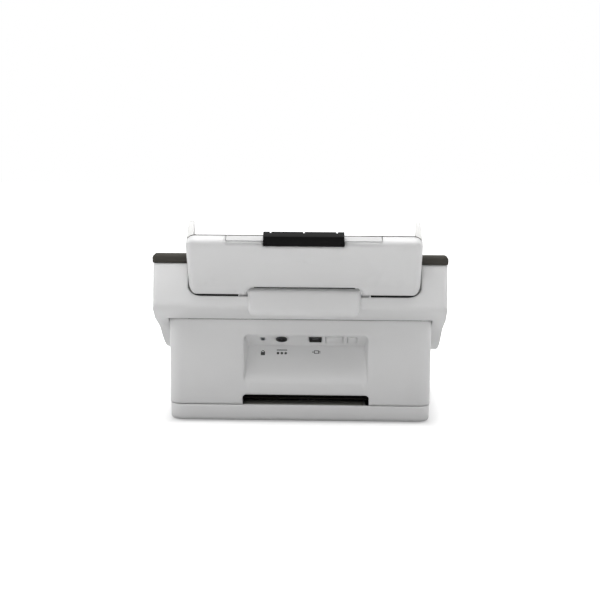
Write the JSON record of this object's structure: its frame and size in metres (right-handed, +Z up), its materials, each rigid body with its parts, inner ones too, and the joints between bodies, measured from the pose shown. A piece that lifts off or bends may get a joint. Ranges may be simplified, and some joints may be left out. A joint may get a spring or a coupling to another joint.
{
  "type": "sheet fed document scanner",
  "caption": "Desktop sheet fed document scanner with folding input tray, opening hatch, feed rollers, connector scoop and pull-out output tray.",
  "frame": {"origin": "on the floor under the middle of the base", "axes": "+X across the machine, to the right as seen from the front; +Y to the rear; +Z up; the front faces -Y"},
  "size_m": [0.3116, 0.2409, 0.2201],
  "materials": {
    "light_shell": "fine moulded grain, light grey",
    "light_extension": "smooth moulded, light grey",
    "white_guide": "smooth moulded, off white",
    "dark_trim": "satin moulded, dark warm grey",
    "dark_inner": "fine moulded grain, near black",
    "black_gloss": "semi gloss black",
    "black_moulding": "matte black",
    "key_plastic": "satin, mid grey",
    "gear_plastic": "natural acetal",
    "rubber_black": "matte black rubber",
    "steel": "plain drawn steel",
    "bronze": "sintered bronze",
    "board": "green solder mask",
    "scan_glass": "clear flat glass",
    "lens": "translucent light pipe"
  },
  "bodies": {
    "chassis": {"base_pan": "light_shell", "rubber_feet": "rubber_black", "lower_housing": "light_shell", "upper_housing": "light_shell", "cap_left": "dark_trim", "cap_right": "dark_trim", "side_frame_left": "dark_inner", "side_frame_right": "dark_inner", "channel_plate": "dark_inner", "lower_guide": "dark_inner", "lower_scan_bar": "black_moulding", "lower_scan_glass": "scan_glass", "main_board": "board", "io_board": "board", "power_jack": "black_moulding", "data_port": "black_moulding", "lock_insert": "steel", "port_blanks": "light_shell", "motor": "steel", "bushes": "bronze", "base_screws": "steel", "tray_pin": "steel", "pick_belt": "rubber_black", "exit_belt": "rubber_black"},
    "motor_rotor": {"motor_pinion": "gear_plastic"},
    "pick_roller": {"pick_shaft": "steel", "pick_tyre": "rubber_black"},
    "feed_roller": {"feed_shaft": "steel", "feed_tyres": "rubber_black", "drive_gear": "gear_plastic"},
    "exit_roller": {"exit_shaft": "steel", "exit_tyres": "rubber_black"},
    "hatch": {"hatch_shell": "light_shell", "control_panel": "dark_trim", "upper_guide": "dark_inner", "upper_scan_bar": "black_moulding", "upper_scan_glass": "scan_glass", "separation_cover": "dark_inner", "hatch_pins": "steel", "status_lens": "lens"},
    "sep_roller": {"separation_roller": "rubber_black"},
    "feed_idler": {"feed_idlers": "white_guide"},
    "exit_idler": {"exit_idlers": "white_guide"},
    "power_key": {"power_button": "key_plastic"},
    "scan_key": {"scan_button": "key_plastic"},
    "copy_key": {"copy_button": "key_plastic"},
    "stop_key": {"stop_button": "key_plastic"},
    "input_tray": {"tray_shell": "light_shell", "tray_plate": "dark_trim", "tray_screws": "steel"},
    "left_guide": {"guide_left": "white_guide"},
    "right_guide": {"guide_right": "white_guide"},
    "guide_gear": {"guide_pinion": "gear_plastic"},
    "tray_extension": {"extension_plate": "light_extension", "extension_grip": "black_gloss"},
    "out_tray": {"output_tray": "dark_trim"},
    "out_extension": {"output_extension": "dark_trim"},
    "out_stop": {"paper_stop": "dark_trim"},
    "latch": {"release_latch": "black_gloss"}
  },
  "joints": [
    {"name": "motor_spin", "type": "hinge", "parent": "chassis", "child": "motor_rotor", "pos_m": [0, 0.02091, 0.05589], "axis": [1, 0, 0], "continuous": true},
    {"name": "pick_spin", "type": "hinge", "parent": "chassis", "child": "pick_roller", "pos_m": [0, 0.0453, 0.08808], "axis": [1, 0, 0], "continuous": true},
    {"name": "feed_spin", "type": "hinge", "parent": "chassis", "child": "feed_roller", "pos_m": [0, 0.02091, 0.08189], "axis": [1, 0, 0], "continuous": true},
    {"name": "exit_spin", "type": "hinge", "parent": "chassis", "child": "exit_roller", "pos_m": [0, -0.04111, 0.05932], "axis": [1, 0, 0], "continuous": true},
    {"name": "hatch_hinge", "type": "hinge", "parent": "chassis", "child": "hatch", "pos_m": [0, -0.08, 0.068], "axis": [1, 0, 0], "range_deg": [0, 50]},
    {"name": "separation_spin", "type": "hinge", "parent": "hatch", "child": "sep_roller", "pos_m": [0, 0.03695, 0.10379], "axis": [1, 0, 0], "continuous": true},
    {"name": "feed_idler_spin", "type": "hinge", "parent": "hatch", "child": "feed_idler", "pos_m": [0, 0.0167, 0.09345], "axis": [1, 0, 0], "continuous": true},
    {"name": "exit_idler_spin", "type": "hinge", "parent": "hatch", "child": "exit_idler", "pos_m": [0, -0.04532, 0.07087], "axis": [1, 0, 0], "continuous": true},
    {"name": "power_press", "type": "slide", "parent": "hatch", "child": "power_key", "axis": [0, 0.2083, -0.9781], "range_m": [0, 0.0008], "stiffness_N_per_m": 900},
    {"name": "scan_press", "type": "slide", "parent": "hatch", "child": "scan_key", "axis": [0, 0.2083, -0.9781], "range_m": [0, 0.0008], "stiffness_N_per_m": 900},
    {"name": "copy_press", "type": "slide", "parent": "hatch", "child": "copy_key", "axis": [0, 0.2083, -0.9781], "range_m": [0, 0.0008], "stiffness_N_per_m": 900},
    {"name": "stop_press", "type": "slide", "parent": "hatch", "child": "stop_key", "axis": [0, 0.2083, -0.9781], "range_m": [0, 0.0008], "stiffness_N_per_m": 900},
    {"name": "tray_hinge", "type": "hinge", "parent": "chassis", "child": "input_tray", "pos_m": [-0.005, 0.0945, 0.1402], "axis": [1, 0, 0], "range_deg": [0, 104]},
    {"name": "left_guide_slide", "type": "slide", "parent": "input_tray", "child": "left_guide", "axis": [-1, 0, 0], "range_m": [0, 0.08]},
    {"name": "right_guide_slide", "type": "slide", "parent": "input_tray", "child": "right_guide", "axis": [1, 0, 0], "range_m": [0, 0.08]},
    {"name": "guide_gear_spin", "type": "hinge", "parent": "input_tray", "child": "guide_gear", "pos_m": [-0.005, 0.12169, 0.18371], "axis": [0, -0.848, 0.5299], "range_deg": [0, 764]},
    {"name": "tray_extension_slide", "type": "slide", "parent": "input_tray", "child": "tray_extension", "axis": [0, 0.5299, 0.848], "range_m": [0, 0.036]},
    {"name": "output_slide", "type": "slide", "parent": "chassis", "child": "out_tray", "axis": [0, -1, 0], "range_m": [0, 0.085]},
    {"name": "output_extension_slide", "type": "slide", "parent": "out_tray", "child": "out_extension", "axis": [0, -1, 0], "range_m": [0, 0.07]},
    {"name": "stop_flip", "type": "hinge", "parent": "out_extension", "child": "out_stop", "pos_m": [-0.005, -0.074, 0.0233], "axis": [1, 0, 0], "range_deg": [0, 90]},
    {"name": "latch_slide", "type": "slide", "parent": "chassis", "child": "latch", "axis": [0, -0.9781, -0.2083], "range_m": [0, 0.004], "stiffness_N_per_m": 500}
  ],
  "couplings": [
    {"joint": "motor_spin", "follows": "feed_spin", "ratio": -3.3333},
    {"joint": "pick_spin", "follows": "feed_spin", "ratio": 1},
    {"joint": "exit_spin", "follows": "feed_spin", "ratio": 1},
    {"joint": "feed_idler_spin", "follows": "feed_spin", "ratio": -1.4},
    {"joint": "exit_idler_spin", "follows": "feed_spin", "ratio": -1.4},
    {"joint": "right_guide_slide", "follows": "left_guide_slide", "ratio": 1},
    {"joint": "guide_gear_spin", "follows": "left_guide_slide", "rad_per_m": 166.67}
  ]
}
